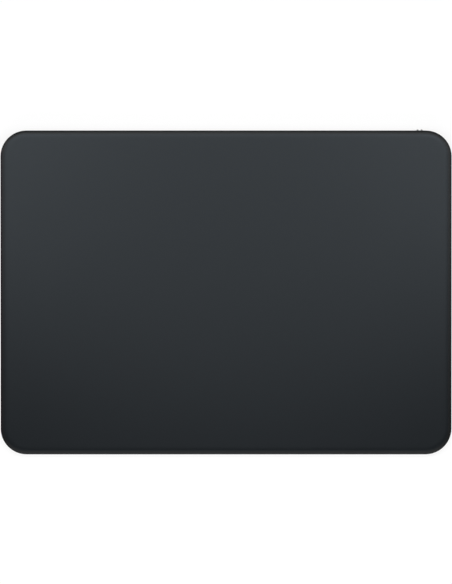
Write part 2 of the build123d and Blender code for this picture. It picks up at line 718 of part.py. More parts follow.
def battery_protection_board():
    """Small protection board that lies on the cell's terrace."""
    middle = (BATTERY_FRONT + BATTERY_REAR) / 2
    right = BATTERY_RIGHT + TERRACE_LENGTH
    low = (right - PROTECTION_DEPTH, middle - PROTECTION_LENGTH / 2, TERRACE_TOP)
    high = (right, middle + PROTECTION_LENGTH / 2, TERRACE_TOP + PROTECTION_THICKNESS)
    return block(low, high)


def battery_lead():
    """Ribbon from the protection board to the logic board."""
    middle = (BATTERY_FRONT + BATTERY_REAR) / 2
    top = TERRACE_TOP + PROTECTION_THICKNESS + RIBBON_THICKNESS / 2
    landing = BOARD_TOP + CONNECTOR_HEIGHT + RIBBON_THICKNESS / 2
    right = BATTERY_RIGHT + TERRACE_LENGTH
    line = Polyline(
        (right - PROTECTION_DEPTH / 2, top),
        (right, top),
        (PANEL_LEFT + PART_GAP, landing),
        (PANEL_LEFT + PART_GAP + CONNECTOR_DEPTH, landing),
    )
    return ribbon(line, facing_front(0, middle + BATTERY_LEAD_WIDTH / 2, 0), BATTERY_LEAD_WIDTH)


def logic_board():
    """L-shaped main board: a panel on the right and a strip along the rear wall."""
    outline = panel((PANEL_LEFT, PANEL_FRONT), (PANEL_RIGHT, BOARD_REAR))
    outline += panel((-STRIP_REACH, STRIP_FRONT), (PANEL_RIGHT, BOARD_REAR))
    outline = chamfer(outline.vertices(), BOARD_BEVEL)
    for x, y in board_screw_places() + strap_screw_places():
        outline -= Pos(x, y) * Circle(SHANK_RADIUS + HOLE_GAP)
    return extrude(level(BOARD_TOP - BOARD_THICKNESS) * outline, amount=BOARD_THICKNESS)


def panel_middle():
    """Middle of the logic board's right panel."""
    return (PANEL_LEFT + PANEL_RIGHT) / 2, (PANEL_FRONT + BOARD_REAR) / 2


def can_middle():
    """Middle of the shield can on the logic board."""
    x, y = panel_middle()
    return x + (PANEL_WIDTH - CAN_LENGTH) / 2 - BOARD_BEVEL, y + PANEL_DEPTH * CAN_PLACE_SHARE


def logic_chips():
    """Chips in the open on the panel and those under the shield can."""
    open_chips = grid_of_chips(PANEL_CHIP_SHARES, PANEL_WIDTH, PANEL_DEPTH)
    can_chips = grid_of_chips(CAN_CHIP_SHARES, CAN_LENGTH, CAN_DEPTH)
    outlines = [Pos(*panel_middle()) * chip for chip in open_chips]
    outlines += [Pos(*can_middle()) * chip for chip in can_chips]
    return [extrude(level(BOARD_TOP) * outline, amount=CHIP_THICKNESS) for outline in outlines]


def logic_capacitors():
    """Row of small capacitors on the rear strip."""
    first = SHELL_WIDTH / 2 + STRAP_FOOT + 2 * PART_GAP
    y = STRIP_FRONT + STRIP_DEPTH / 2
    bodies = []
    for index in range(CAPACITOR_COUNT):
        place = Pos(first + index * CAPACITOR_PITCH, y)
        outline = place * Rectangle(CAPACITOR_WIDTH, CAPACITOR_LENGTH)
        bodies.append(extrude(level(BOARD_TOP) * outline, amount=CAPACITOR_WIDTH))
    return bodies


def flex_connectors():
    """Board-side connectors of the battery lead and of the touch ribbon."""
    battery_y = (BATTERY_FRONT + BATTERY_REAR) / 2
    left = PANEL_LEFT + PART_GAP
    battery = block(
        (left, battery_y - CONNECTOR_LENGTH / 2, BOARD_TOP),
        (left + CONNECTOR_DEPTH, battery_y + CONNECTOR_LENGTH / 2, BOARD_TOP + CONNECTOR_HEIGHT),
    )
    x, y = board_ribbon_place()
    touch = block(
        (x - CONNECTOR_LENGTH / 2, y - CONNECTOR_DEPTH / 2, BOARD_TOP),
        (x + CONNECTOR_LENGTH / 2, y + CONNECTOR_DEPTH / 2, BOARD_TOP + CONNECTOR_HEIGHT),
    )
    return [battery, touch]


def board_ribbon_place():
    """Middle of the touch ribbon's connector on the logic board."""
    return panel_middle()[0], PANEL_FRONT + PART_GAP + CONNECTOR_DEPTH / 2


def sensor_flex():
    """Ribbon from the touch board's connector back to the logic board."""
    x, start = sensor_connector_middle()
    drop = (SENSOR_DROP + CONNECTOR_HEIGHT) / cos(SLOPE) + RIBBON_THICKNESS / 2
    start_height = MID_HEIGHT + start * tan(SLOPE) - drop
    lead = CONNECTOR_DEPTH * sin(SLOPE)
    end = board_ribbon_place()[1]
    landing = BOARD_TOP + CONNECTOR_HEIGHT + RIBBON_THICKNESS / 2
    line = FilletPolyline(
        (start - CONNECTOR_DEPTH, start_height - lead),
        (start + CONNECTOR_DEPTH, start_height + lead),
        (end - 2 * CONNECTOR_DEPTH, landing),
        (end + CONNECTOR_DEPTH / 2, landing),
        radius=SENSOR_RIBBON_ROUND,
    )
    return ribbon(line, facing_right(x - SENSOR_RIBBON_WIDTH / 2, 0, 0), SENSOR_RIBBON_WIDTH)


def shield_can():
    """Pressed can over the radio chips, open underneath."""
    outer = Rectangle(CAN_LENGTH, CAN_DEPTH)
    outer = Pos(*can_middle()) * chamfer(outer.vertices(), CAN_BEVEL)
    inner = Rectangle(CAN_LENGTH - 2 * CAN_WALL, CAN_DEPTH - 2 * CAN_WALL)
    inner = Pos(*can_middle()) * chamfer(inner.vertices(), CAN_BEVEL)
    can = extrude(level(BOARD_TOP) * outer, amount=CAN_HEIGHT)
    return can - extrude(level(BOARD_TOP) * inner, amount=CAN_HEIGHT - CAN_WALL)


def board_screws():
    """Screws of the logic board, two of them through the feet of the socket strap."""
    plain = [Pos(x, y, BOARD_TOP) * screw(BOARD_THICKNESS) for x, y in board_screw_places()]
    strap_top = BOARD_TOP + STRAP_THICKNESS
    grip = BOARD_THICKNESS + STRAP_THICKNESS
    strap = [Pos(x, y, strap_top) * screw(grip) for x, y in strap_screw_places()]
    return plain + strap


def socket_shell():
    """Steel shell of the charging socket, closed at its back."""
    outer = SlotOverall(SHELL_WIDTH, SHELL_HEIGHT)
    inner = SlotOverall(SHELL_WIDTH - 2 * SHELL_WALL, SHELL_HEIGHT - 2 * SHELL_WALL)
    mouth = facing_front(0, SOCKET_MOUTH, PORT_HEIGHT)
    shell = extrude(mouth * outer, amount=SHELL_LENGTH)
    return shell - extrude(mouth * inner, amount=SHELL_LENGTH - SHELL_BACK)


def tongue_start():
    """Rear end of the tongue, on the closed back of the shell."""
    return SOCKET_MOUTH - SHELL_LENGTH + SHELL_BACK


def socket_tongue():
    """Contact tongue inside the socket."""
    length = SHELL_LENGTH - SHELL_BACK - TONGUE_SETBACK
    section = Rectangle(TONGUE_WIDTH, TONGUE_THICKNESS)
    return extrude(facing_front(0, tongue_start() + length, PORT_HEIGHT) * section, amount=length)


def socket_contacts():
    """Contacts on both faces of the tongue."""
    first = -CONTACT_PITCH * (CONTACT_COUNT - 1) / 2
    front = SOCKET_MOUTH - TONGUE_SETBACK - CONTACT_SETBACK
    contacts = []
    for index in range(CONTACT_COUNT):
        x = first + index * CONTACT_PITCH
        for side in (-1, 1):
            height = PORT_HEIGHT + side * (TONGUE_THICKNESS + CONTACT_THICKNESS) / 2
            section = Rectangle(CONTACT_WIDTH, CONTACT_THICKNESS)
            contacts.append(extrude(facing_front(x, front, height) * section, amount=CONTACT_LENGTH))
    return contacts


def socket_bracket():
    """Steel strap over the socket shell, screwed down with the board at both feet."""
    inner = SHELL_WIDTH / 2 + STRAP_GAP
    outer = inner + STRAP_THICKNESS
    roof = SHELL_HEIGHT + STRAP_GAP
    profile = panel((-outer - STRAP_FOOT, 0), (outer + STRAP_FOOT, STRAP_THICKNESS))
    profile += panel((-outer, 0), (outer, roof + STRAP_THICKNESS))
    profile -= panel((-inner, 0), (inner, roof))
    rear = SOCKET_MOUTH - SHELL_LENGTH + STRAP_DEPTH
    strap = extrude(facing_front(0, rear, BOARD_TOP) * profile, amount=STRAP_DEPTH)
    for x, y in strap_screw_places():
        hole = Pos(x, y) * Circle(SHANK_RADIUS + HOLE_GAP)
        strap -= extrude(level(BOARD_TOP) * hole, amount=STRAP_THICKNESS + OVERRUN)
    return strap


def power_knob():
    """Knob in the rear slot, with two upright ridges for a fingertip."""
    face = REAR_FACE - KNOB_SETBACK
    body = SlotOverall(KNOB_WIDTH, KNOB_HEIGHT)
    knob = extrude(facing_front(POWER_X, face, PORT_HEIGHT) * body, amount=face - SLIDER_FACE)
    peg = Rectangle(KNOB_PEG_WIDTH, KNOB_PEG_HEIGHT)
    knob += extrude(facing_front(POWER_X, SLIDER_FACE, PORT_HEIGHT) * peg, amount=SLIDER_THICKNESS)
    for side in (-1, 1):
        outline = Rot(0, 0, 90) * SlotOverall(RIDGE_HEIGHT, RIDGE_WIDTH)
        plane = facing_front(POWER_X + side * RIDGE_PITCH / 2, REAR_FACE + RIDGE_PROUD, PORT_HEIGHT)
        knob += extrude(plane * outline, amount=RIDGE_PROUD + KNOB_SETBACK)
    return knob


def switch_slider():
    """Dust plate behind the wall that carries the knob and forks round the lever."""
    plane = facing_front(POWER_X, SLIDER_FACE, PORT_HEIGHT)
    plate = extrude(plane * Rectangle(SLIDER_LENGTH, SLIDER_HEIGHT), amount=SLIDER_THICKNESS)
    plate -= extrude(plane * Rectangle(KNOB_PEG_WIDTH, KNOB_PEG_HEIGHT), amount=SLIDER_THICKNESS)
    for side in (-1, 1):
        x = POWER_X + side * (LEVER_WIDTH / 2 + LEVER_GAP + FORK_PRONG / 2)
        prong = Rectangle(FORK_PRONG, FORK_HEIGHT)
        plate += extrude(facing_front(x, SLIDER_BACK, LEVER_MIDDLE) * prong, amount=FORK_REACH)
    return plate


def on_indicator():
    """Coloured strip on the slider that the slot uncovers when the power is on."""
    left = POWER_X - SLIDER_LENGTH / 2 + SLIDER_LAP
    right = POWER_X - KNOB_WIDTH / 2
    middle = (left + right) / 2
    strip = Rectangle(right - left, KNOB_HEIGHT + 2 * KNOB_GAP + SLIDER_LAP)
    plane = facing_front(middle, SLIDER_FACE + INDICATOR_THICKNESS, PORT_HEIGHT)
    return extrude(plane * strip, amount=INDICATOR_THICKNESS)


def switch_lever():
    """Lever of the slide switch, held in the fork."""
    section = Rectangle(LEVER_WIDTH, LEVER_HEIGHT)
    plane = facing_front(POWER_X, LEVER_TIP, LEVER_MIDDLE)
    return extrude(plane * section, amount=LEVER_TIP - SWITCH_REAR + LEVER_ROOT)


def switch_body():
    """Slide switch with a slot for its lever."""
    low = (POWER_SLOT_X - SWITCH_LENGTH / 2, SWITCH_REAR - SWITCH_DEPTH, BOARD_TOP)
    high = (POWER_SLOT_X + SWITCH_LENGTH / 2, SWITCH_REAR, BOARD_TOP + SWITCH_HEIGHT)
    slot = Rectangle(LEVER_WIDTH + POWER_TRAVEL + 2 * KNOB_GAP, LEVER_HEIGHT + 2 * LEVER_GAP)
    plane = facing_front(POWER_SLOT_X, SWITCH_REAR, LEVER_MIDDLE)
    return block(low, high) - extrude(plane * slot, amount=LEVER_ROOT + LEVER_GAP)


def switch_board():
    """Small board under the slide switch."""
    low = (SWITCH_BOARD_LEFT, SWITCH_BOARD_FRONT, BOARD_TOP - BOARD_THICKNESS)
    return block(low, (SWITCH_BOARD_LEFT + SWITCH_BOARD_LENGTH, SWITCH_BOARD_REAR, BOARD_TOP))


def switch_flex():
    """Ribbon that bridges the logic board and the switch board."""
    low = (PANEL_RIGHT - SWITCH_RIBBON_LAP, SWITCH_BOARD_FRONT, BOARD_TOP)
    high = (SWITCH_BOARD_LEFT + SWITCH_RIBBON_LAP, SWITCH_REAR, BOARD_TOP + RIBBON_THICKNESS)
    return block(low, high)


def antenna_carrier():
    """Stepped plastic carrier that holds the antenna close under the glass."""
    left = ANTENNA_RIGHT - ANTENNA_LENGTH
    line = Polyline(
        (left, FLOOR_TOP),
        (ANTENNA_RIGHT, FLOOR_TOP),
        (ANTENNA_RIGHT, BOARD_TOP),
        (ANTENNA_RIGHT - ANTENNA_STEP, BOARD_TOP),
        (ANTENNA_RIGHT - ANTENNA_STEP, FLOOR_TOP + ANTENNA_HEIGHT),
        (left, FLOOR_TOP + ANTENNA_HEIGHT),
        close=True,
    )
    return extrude(facing_front(0, ANTENNA_Y + ANTENNA_DEPTH / 2, 0) * make_face(line), amount=ANTENNA_DEPTH)


def antenna_trace():
    """Bent metal strip on top of the carrier: a long arm with two feed legs."""
    left = ANTENNA_RIGHT - ANTENNA_LENGTH + ANTENNA_TRACE_WIDTH
    right = ANTENNA_RIGHT - ANTENNA_STEP
    rear = ANTENNA_Y + ANTENNA_DEPTH / 2
    front = ANTENNA_Y - ANTENNA_DEPTH / 2
    outline = panel((left, rear - ANTENNA_TRACE_WIDTH), (right, rear))
    outline += panel((right - ANTENNA_TRACE_WIDTH, front), (right, rear))
    feed = right - 2 * ANTENNA_STEP
    outline += panel((feed - ANTENNA_TRACE_WIDTH, front), (feed, rear))
    return extrude(level(FLOOR_TOP + ANTENNA_HEIGHT) * outline, amount=RIBBON_THICKNESS)


def antenna_flex():
    """Ribbon from the antenna's step to the logic board strip."""
    rear = ANTENNA_Y + ANTENNA_DEPTH / 2
    low = (ANTENNA_RIGHT - ANTENNA_RIBBON_LAP, rear - ANTENNA_RIBBON_WIDTH, BOARD_TOP)
    high = (-STRIP_REACH + ANTENNA_RIBBON_LAP, rear, BOARD_TOP + RIBBON_THICKNESS)
    return block(low, high)


PIECES = [
    glass_top,
    glass_adhesive,
    sensor_board,
    stiffener_plate,
    sensor_chips,
    sensor_connector,
    attraction_bar,
    bar_adhesive,
    gel_pads,
    enclosure,
    feet,
    force_beams,
    strain_gauges,
    beam_screws,
    haptic_bracket,
    haptic_core,
    haptic_coils,
    haptic_screws,
    haptic_flex,
    battery_cell,
    battery_adhesive,
    battery_protection_board,
    battery_lead,
    logic_board,
    logic_chips,
    logic_capacitors,
    flex_connectors,
    shield_can,
    board_screws,
    socket_shell,
    socket_tongue,
    socket_contacts,
    socket_bracket,
    switch_board,
    switch_body,
    switch_flex,
    antenna_carrier,
    antenna_trace,
    antenna_flex,
    sensor_flex,
    power_knob,
    switch_slider,
    on_indicator,
    switch_lever,
]

os.makedirs("parts", exist_ok=True)
for piece in PIECES:
    shape = piece()
    solids = shape if isinstance(shape, list) else [shape]
    bodies = [solid for item in solids for solid in item.solids()]
    whole = bodies[0] if len(bodies) == 1 else Compound(children=bodies)
    export_step(whole, f"parts/{piece.__name__}.step")
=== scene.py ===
import json
from math import atan, atan2, cos, pi, sin, sqrt

import bmesh
import bpy
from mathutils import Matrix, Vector


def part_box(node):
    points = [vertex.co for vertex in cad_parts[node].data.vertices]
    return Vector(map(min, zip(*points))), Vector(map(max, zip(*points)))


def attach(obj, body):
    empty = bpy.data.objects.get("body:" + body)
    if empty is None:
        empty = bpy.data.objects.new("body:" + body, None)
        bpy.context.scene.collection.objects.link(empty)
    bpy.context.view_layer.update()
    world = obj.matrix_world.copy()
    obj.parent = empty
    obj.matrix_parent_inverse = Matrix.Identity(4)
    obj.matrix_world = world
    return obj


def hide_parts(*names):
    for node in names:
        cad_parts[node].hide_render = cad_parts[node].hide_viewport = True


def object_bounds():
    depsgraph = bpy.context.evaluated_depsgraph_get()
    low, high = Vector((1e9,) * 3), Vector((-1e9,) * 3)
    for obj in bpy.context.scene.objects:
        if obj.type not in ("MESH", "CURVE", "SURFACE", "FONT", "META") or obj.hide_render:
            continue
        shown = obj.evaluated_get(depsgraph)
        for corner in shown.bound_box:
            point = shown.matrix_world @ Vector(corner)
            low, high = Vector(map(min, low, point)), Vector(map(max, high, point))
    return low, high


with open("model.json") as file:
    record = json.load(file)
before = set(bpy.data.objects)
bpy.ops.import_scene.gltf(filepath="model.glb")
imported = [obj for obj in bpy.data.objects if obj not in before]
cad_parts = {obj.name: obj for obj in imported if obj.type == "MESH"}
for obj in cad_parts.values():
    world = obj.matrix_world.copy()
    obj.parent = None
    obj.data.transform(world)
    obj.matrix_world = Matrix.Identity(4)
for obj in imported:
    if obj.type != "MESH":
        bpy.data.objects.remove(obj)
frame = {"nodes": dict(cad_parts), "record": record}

# Looks of a desktop trackpad: a sheet of dark etched glass over a wedge-shaped metal tray.
# Lengths are metres. X runs to the user's right, Y away from the user, Z up.
CAD_LOW, CAD_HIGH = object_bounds()
MM = 0.001

# The trackpad's outline in the photo, in the photo's pixels
PHOTO_WIDTH_PX = 452
PHOTO_HEIGHT_PX = 584
OUTLINE_LEFT_PX = 0.5
OUTLINE_RIGHT_PX = 451.6
OUTLINE_TOP_PX = 131.1
OUTLINE_BOTTOM_PX = 453.9

# Camera. Its sensor spans the picture's longer side.
CAMERA_DISTANCE = 5.0
SENSOR_MM = 36.0
CAMERA_NEAR = 0.1
CAMERA_FAR = 20.0

# Lamps that face straight down: shape, place, size across and along, and brightness of the face
LIGHTS = {
    "key_light": ("ELLIPSE", (0, 0.045, 0.5), (0.275, 0.295), 4.4),
    "left_light": ("RECTANGLE", (-0.175, 0.035, 0.49), (0.21, 0.18), 4.3),
    "right_light": ("RECTANGLE", (0.175, 0.035, 0.49), (0.21, 0.18), 4.3),
    "rear_light": ("RECTANGLE", (0, 0.075, 0.51), (0.375, 0.055), 5.3),
    "front_light": ("RECTANGLE", (0, -0.31, 0.5), (0.5, 0.2), 3.0),
}

# Even light from all round, and the white that the background shows
WORLD_LIGHT = 0.03
WHITE = 1.0

# Floor. Its own colour lights the object by bounce. Rays that see it meet a glow, which grows to white
# between the fade's two distances from the middle, and a lit colour that makes the sum up to FLOOR_SEEN
# and holds the shadow.
FLOOR_SIZE = 12.0
FLOOR_SHIFT = 2.0
FLOOR_COLOR = 0.82
FLOOR_ROUGHNESS = 0.9
FLOOR_GLOW = 0.86
FLOOR_SEEN = 1.03
FADE_START = 0.12
FADE_END = 0.45

# Sizes shared with the CAD model. KNOB_RIDGE_PROUD is how far the ridges stand out of the knob's face.
FRONT_HEIGHT = 4.9 * MM
REAR_HEIGHT = 10.9 * MM
CORNER_RADIUS = 9.2 * MM
GLASS_INSET = 0.08 * MM
GLASS_THICKNESS = 0.8 * MM
FOOT_INSET = 14.0 * MM
KNOB_RIDGE_PROUD = 0.5 * MM
RIDGE_PITCH = 1.42 * MM
RIDGE_WIDTH = 0.6 * MM
RIDGE_HEIGHT = 1.7 * MM
PEG_WIDTH = 2.0 * MM
PEG_HEIGHT = 1.0 * MM
SHELL_WALL = 0.3 * MM

# Cover glass: a crown that falls towards the edge, a small round, the side and a bevel below.
# The band is the strip next to the edge that has the ground finish.
GLASS_CROWN_WIDTH = 2.4 * MM
GLASS_CROWN_DROP = 0.22 * MM
GLASS_CROWN_POWER = 2.2
GLASS_EDGE_BAND = 1.2 * MM
GLASS_EDGE_ROUND = 0.15 * MM
GLASS_BOTTOM_BEVEL = 0.1 * MM

# Rounding of the small pieces, and how far a ridge or the peg runs into the knob's body
FOOT_ROUND = 0.35 * MM
KNOB_ROUND = 0.15 * MM
RIDGE_ROUND = 0.28 * MM
PEG_ROUND = 0.1 * MM
TONGUE_ROUND = 0.12 * MM
KNOB_OVERLAP = 0.1 * MM

# Steps of the round outlines and edges
GLASS_CORNER_STEPS = 32
GLASS_CROWN_STEPS = 20
FOOT_STEPS = 96
SLOT_STEPS = 24
ROUND_STEPS = 8

# Span in which nearly all of a noise lies
NOISE_LOW = 0.3
NOISE_HIGH = 0.7

# Places of a Mix node's colour inputs, factor and result
MIX_FACTOR = 0
MIX_FIRST = 6
MIX_SECOND = 7
MIX_RESULT = 2

# Boxes of the tray and of the socket's tongue, and the form of the sloping deck
TRAY_LOW, TRAY_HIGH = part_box("enclosure")
TONGUE_LOW, TONGUE_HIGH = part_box("socket_tongue")
WIDTH = TRAY_HIGH.x - TRAY_LOW.x
DEPTH = TRAY_HIGH.y - TRAY_LOW.y
SLOPE = atan2(REAR_HEIGHT - FRONT_HEIGHT, DEPTH)
DECK_MIDDLE = Vector((0, 0, (FRONT_HEIGHT + REAR_HEIGHT) / 2))
DECK_BACK = Vector((0, cos(SLOPE), sin(SLOPE)))
DECK_UP = Vector((0, -sin(SLOPE), cos(SLOPE)))
DECK_DEPTH = DEPTH / cos(SLOPE)


# Mesh making


def deck_point(x, y, drop):
    """Place on the glass at x and y, sunk by a drop below its top."""
    return DECK_MIDDLE + Vector((x, 0, 0)) + DECK_BACK * y - DECK_UP * drop


def rounded_ring(half_width, half_depth, radius, steps):
    """Points round a rounded rectangle, corner by corner."""
    points = []
    for turn, (right, back) in enumerate(((1, -1), (1, 1), (-1, 1), (-1, -1))):
        for step in range(steps + 1):
            angle = (turn - 1 + step / steps) * pi / 2
            x = right * (half_width - radius) + radius * cos(angle)
            y = back * (half_depth - radius) + radius * sin(angle)
            points.append((x, y))
    return points


def quarter_round(radius, steps):
    """Inset and drop of the points of a rounded edge, from its upper end to its outer end."""
    angles = [step / steps * pi / 2 for step in range(steps + 1)]
    return [(radius * (1 - sin(a)), radius * (1 - cos(a))) for a in angles]


def upright(outline, middle, y):
    """Outline stood up round a middle, at a place along the depth."""
    return [(middle.x + across, y, middle.z + up) for across, up in outline]


def slot_rings(middle, width, height, levels):
    """Upright outlines with full-round ends, one for each inset and place along the depth."""
    rings = []
    radius = min(width, height) / 2
    for inset, y in levels:
        outline = rounded_ring(width / 2 - inset, height / 2 - inset, radius - inset, SLOT_STEPS)
        rings.append(upright(outline, middle, y))
    return rings


def add_skin(mesh, rings):
    """Closed skin through rings of points, with a flat face at each end. Gives back its bands of faces."""
    loops = [[mesh.verts.new(point) for point in ring] for ring in rings]
    bands = []
    for upper, lower in zip(loops, loops[1:]):
        band = []
        for index in range(len(upper)):
            after = (index + 1) % len(upper)
            face = mesh.faces.new((upper[index], lower[index], lower[after], upper[after]))
            face.smooth = True
            band.append(face)
        bands.append(band)
    for cap in (loops[0], loops[-1][::-1]):
        mesh.faces.new(cap)
    return bands


def finish_piece(mesh, name, piece_materials):
    """Object made from a bmesh, with its materials."""
    bmesh.ops.recalc_face_normals(mesh, faces=mesh.faces)
    data = bpy.data.meshes.new(name)
    mesh.to_mesh(data)
    mesh.free()
    for material in piece_materials:
        data.materials.append(material)
    piece = bpy.data.objects.new(name, data)
    bpy.context.scene.collection.objects.link(piece)
    return piece


# Material making


class Finish:
    """A material with its shader and short ways to add nodes."""

    def __init__(self, name, color, roughness, metallic=0.0, specular=0.5):
        self.material = bpy.data.materials.new(name)
        self.material.use_nodes = True
        self.nodes = self.material.node_tree.nodes
        self.links = self.material.node_tree.links
        self.shader = self.nodes["Principled BSDF"]
        self.color = color
        self.roughness = roughness
        self.shader.inputs["Base Color"].default_value = (*color, 1)
        self.shader.inputs["Roughness"].default_value = roughness
        self.shader.inputs["Metallic"].default_value = metallic
        self.shader.inputs["Specular IOR Level"].default_value = specular
        self.place = self.nodes.new("ShaderNodeTexCoord").outputs["Object"]

    def tint_gloss(self, color):
        """Colour of the reflections that meet the surface squarely."""
        self.shader.inputs["Specular Tint"].default_value = (*color, 1)

    def noise(self, size, detail=3.0, stretch=(1, 1, 1)):
        """Noise whose features are about the given size."""
        mapping = self.nodes.new("ShaderNodeMapping")
        mapping.inputs["Scale"].default_value = stretch
        self.links.new(self.place, mapping.inputs["Vector"])
        noise = self.nodes.new("ShaderNodeTexNoise")
        noise.inputs["Scale"].default_value = 1 / size
        noise.inputs["Detail"].default_value = detail
        self.links.new(mapping.outputs["Vector"], noise.inputs["Vector"])
        return noise.outputs["Fac"]

    def spread(self, value, low, high):
        """Value stretched from a noise's usual span to the given limits."""
        node = self.nodes.new("ShaderNodeMapRange")
        node.inputs["From Min"].default_value = NOISE_LOW
        node.inputs["From Max"].default_value = NOISE_HIGH
        node.inputs["To Min"].default_value = low
        node.inputs["To Max"].default_value = high
        self.links.new(value, node.inputs["Value"])
        return node.outputs["Result"]

    def mottle(self, value, share):
        """Base colour made lighter and darker by a share, following a value."""
        mix = self.nodes.new("ShaderNodeMix")
        mix.data_type = "RGBA"
        mix.inputs[MIX_FIRST].default_value = (*[c * (1 - share) for c in self.color], 1)
        mix.inputs[MIX_SECOND].default_value = (*[c * (1 + share) for c in self.color], 1)
        self.links.new(self.spread(value, 0, 1), mix.inputs[MIX_FACTOR])
        self.links.new(mix.outputs[MIX_RESULT], self.shader.inputs["Base Color"])

    def uneven_gloss(self, value, change):
        """Roughness that rises and falls by a change, following a value."""
        result = self.spread(value, self.roughness - change, self.roughness + change)
        self.links.new(result, self.shader.inputs["Roughness"])

    def bump(self, value, depth, strength=1.0):
        """Relief of the given depth, following a value."""
        node = self.nodes.new("ShaderNodeBump")
        node.inputs["Distance"].default_value = depth
        node.inputs["Strength"].default_value = strength
        self.links.new(value, node.inputs["Height"])
        self.links.new(node.outputs["Normal"], self.shader.inputs["Normal"])


def etched_glass(name):
    """Cover glass: fine acid-etched face over a dark print."""
    finish = Finish(name, color=(0.0009, 0.0014, 0.0021), roughness=0.25, specular=0.104)
    finish.tint_gloss((0.80, 0.905, 0.99))
    finish.mottle(finish.noise(size=30 * MM), share=0.06)
    finish.uneven_gloss(finish.noise(size=20 * MM), change=0.006)
    finish.bump(finish.noise(size=0.12 * MM), depth=0.0004 * MM)
    return finish.material


def ground_edge(name):
    """Ground and inked edge of the cover glass."""
    finish = Finish(name, color=(0.0018, 0.0020, 0.0022), roughness=0.25, specular=0.104)
    finish.tint_gloss((0.93, 0.97, 1.0))
    finish.uneven_gloss(finish.noise(size=1.5 * MM), change=0.02)
    return finish.material


def anodised(name):
    """Bead-blasted aluminium, anodised dark grey."""
    finish = Finish(name, color=(0.052, 0.055, 0.059), roughness=0.42, metallic=1.0)
    finish.mottle(finish.noise(size=12 * MM), share=0.04)
    finish.uneven_gloss(finish.noise(size=0.6 * MM), change=0.04)
    finish.bump(finish.noise(size=0.16 * MM, detail=4.0), depth=0.006 * MM)
    return finish.material


def rubber(name):
    """Matt rubber of the feet."""
    finish = Finish(name, color=(0.018, 0.018, 0.019), roughness=0.75, specular=0.3)
    finish.mottle(finish.noise(size=2 * MM), share=0.15)
    finish.bump(finish.noise(size=0.25 * MM), depth=0.02 * MM)
    return finish.material


def moulded(name, color, roughness):
    """Moulded plastic with a fine spark texture."""
    finish = Finish(name, color, roughness, specular=0.4)
    finish.mottle(finish.noise(size=3 * MM), share=0.05)
    finish.uneven_gloss(finish.noise(size=0.8 * MM), change=0.05)
    finish.bump(finish.noise(size=0.12 * MM), depth=0.006 * MM)
    return finish.material


def metal(name, color, roughness, stretch=(1, 1, 1)):
    """Bare metal with fine marks."""
    finish = Finish(name, color, roughness, metallic=1.0)
    marks = finish.noise(size=0.15 * MM, detail=4.0, stretch=stretch)
    finish.mottle(marks, share=0.08)
    finish.uneven_gloss(marks, change=0.06)
    finish.bump(marks, depth=0.002 * MM)
    return finish.material


def film(name, color, roughness):
    """Thin film or tape with a slight ripple."""
    finish = Finish(name, color, roughness)
    finish.mottle(finish.noise(size=4 * MM), share=0.1)
    finish.bump(finish.noise(size=3 * MM), depth=0.03 * MM, strength=0.4)
    return finish.material


def board(name):
    """Circuit board: solder mask over faint copper routes."""
    finish = Finish(name, color=(0.008, 0.022, 0.018), roughness=0.35)
    routes = finish.noise(size=1.2 * MM, detail=1.0, stretch=(1, 0.15, 1))
    finish.mottle(routes, share=0.35)
    finish.bump(routes, depth=0.02 * MM, strength=0.5)
    return finish.material


# Scales that draw marks out along X, as on rolled sheet, or along Y, as on wound wire
ROLLED = (0.1, 1, 1)
WOUND = (1, 0.1, 1)

# What makes each slot's material, with its colour and roughness where several slots share a maker
FINISHES = {
    "etched_glass": (etched_glass, {}),
    "black_film": (film, {"color": (0.010, 0.010, 0.010), "roughness": 0.5}),
    "circuit_board": (board, {}),
    "steel_sheet": (metal, {"color": (0.56, 0.55, 0.53), "roughness": 0.32, "stretch": ROLLED}),
    "spring_steel": (metal, {"color": (0.50, 0.49, 0.48), "roughness": 0.28, "stretch": ROLLED}),
    "magnet_steel": (metal, {"color": (0.14, 0.14, 0.14), "roughness": 0.5}),
    "chip_plastic": (moulded, {"color": (0.020, 0.020, 0.022), "roughness": 0.45}),
    "light_plastic": (moulded, {"color": (0.60, 0.57, 0.50), "roughness": 0.4}),
    "gel": (film, {"color": (0.28, 0.29, 0.31), "roughness": 0.3}),
    "anodised_aluminium": (anodised, {}),
    "knob_plastic": (moulded, {"color": (0.020, 0.021, 0.022), "roughness": 0.45}),
    "foot_rubber": (rubber, {}),
    "ribbon": (film, {"color": (0.33, 0.15, 0.03), "roughness": 0.35}),
    "screw_steel": (metal, {"color": (0.60, 0.60, 0.61), "roughness": 0.25}),
    "copper": (metal, {"color": (0.62, 0.26, 0.12), "roughness": 0.35, "stretch": WOUND}),
    "gold": (metal, {"color": (0.80, 0.58, 0.24), "roughness": 0.22}),
    "cell_foil": (metal, {"color": (0.55, 0.56, 0.58), "roughness": 0.4}),
    "green_mark": (film, {"color": (0.04, 0.42, 0.10), "roughness": 0.4}),
}
materials = {slot: make(slot, **look) for slot, (make, look) in FINISHES.items()}


def dress_nodes():
    """Gives each node of the frame the material of its slot."""
    for part in frame["record"]["subparts"]:
        node_materials = frame["nodes"][part["node"]].data.materials
        node_materials.clear()
        node_materials.append(materials[part["material_slot"]])


# Pieces that replace a plainer node


